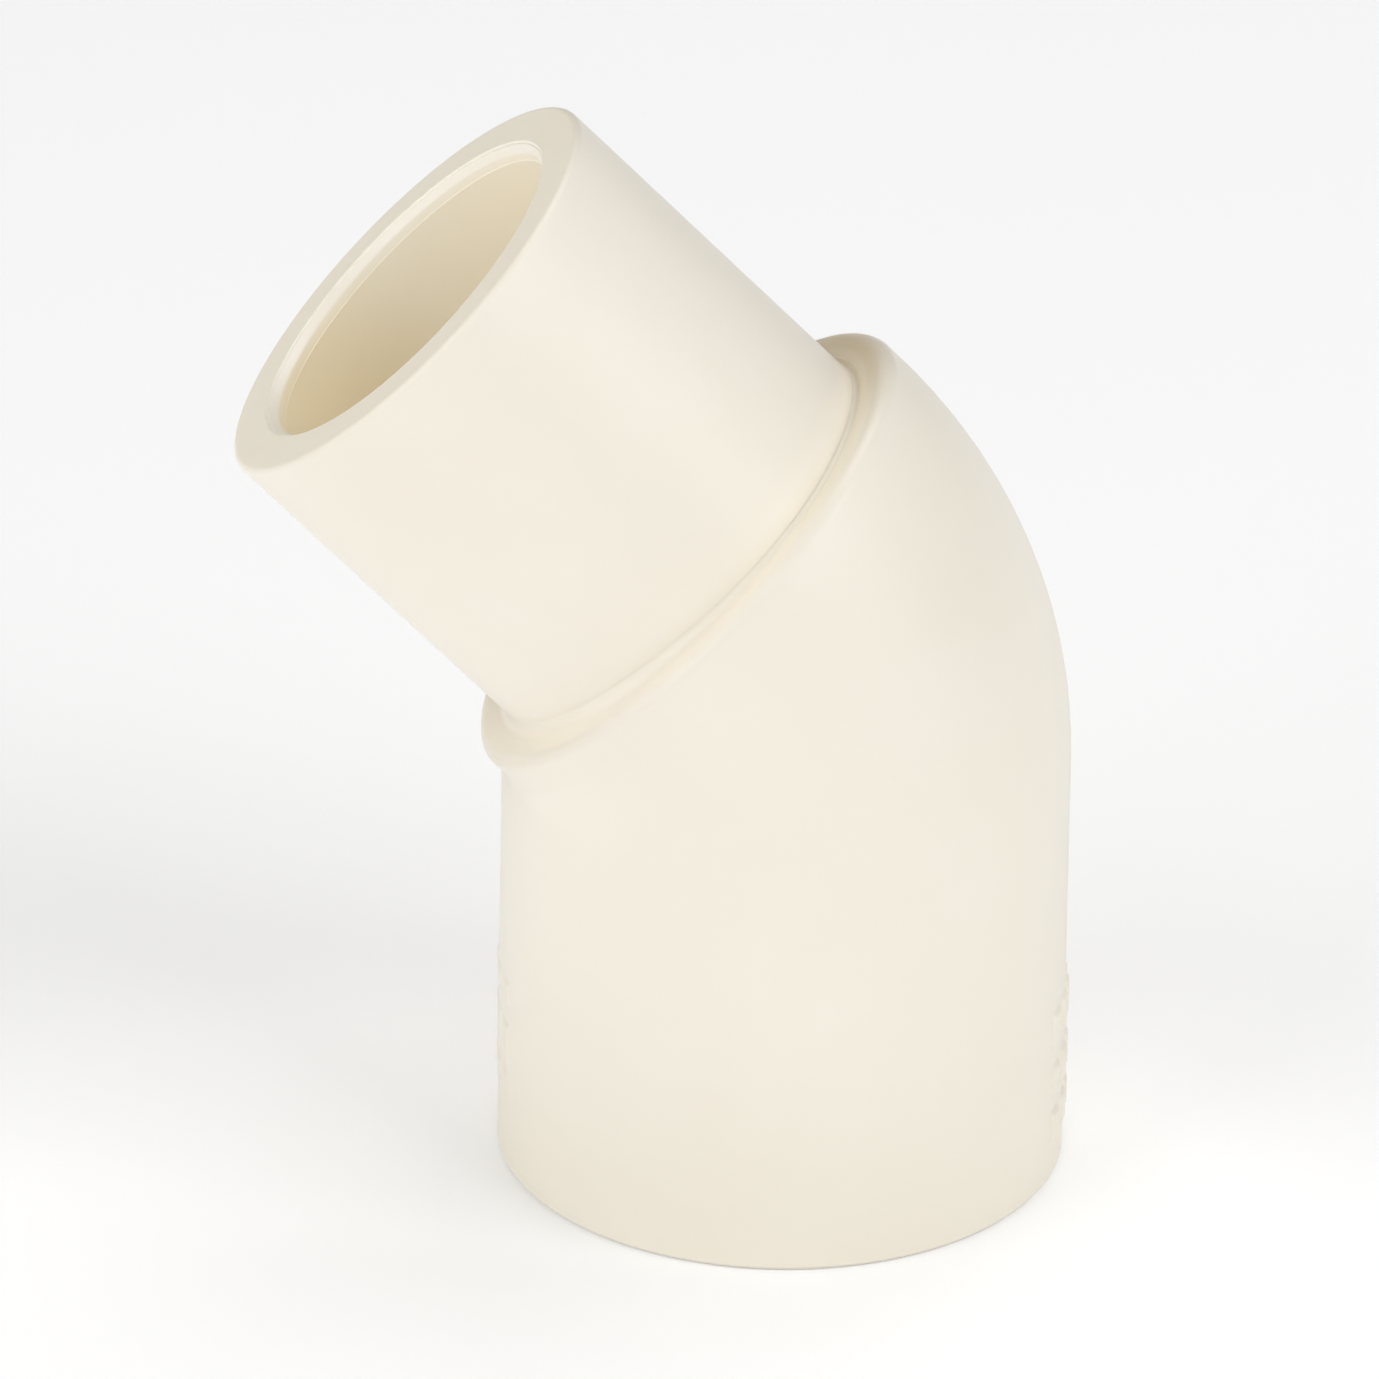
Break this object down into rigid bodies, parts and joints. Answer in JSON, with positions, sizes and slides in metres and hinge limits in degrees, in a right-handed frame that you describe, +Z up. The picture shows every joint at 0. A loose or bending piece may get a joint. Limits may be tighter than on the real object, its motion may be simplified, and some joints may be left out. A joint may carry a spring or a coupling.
{
  "type": "45 degree street elbow",
  "caption": "Cream plastic pipe or conduit elbow that turns a run by 45 degrees, with a glue socket at the bottom and a plain tube-size spigot at the top.",
  "frame": {"origin": "centre of the socket's mouth, on the plane of its rim", "axes": "+Z up the socket's axis, away from the mouth; the spigot leans towards -X by 45 degrees in the XZ plane; XZ is the mirror plane"},
  "size_m": [0.0391, 0.0266, 0.0513],
  "materials": {
    "moulded_plastic": "satin, as moulded, warm cream"
  },
  "bodies": {
    "root": {"socket_hub": "moulded_plastic", "tube_stop": "moulded_plastic", "bend_shell": "moulded_plastic", "shoulder_ring": "moulded_plastic", "spigot_tube": "moulded_plastic", "mould_marks_right": "moulded_plastic", "mould_marks_left": "moulded_plastic"}
  },
  "joints": []
}
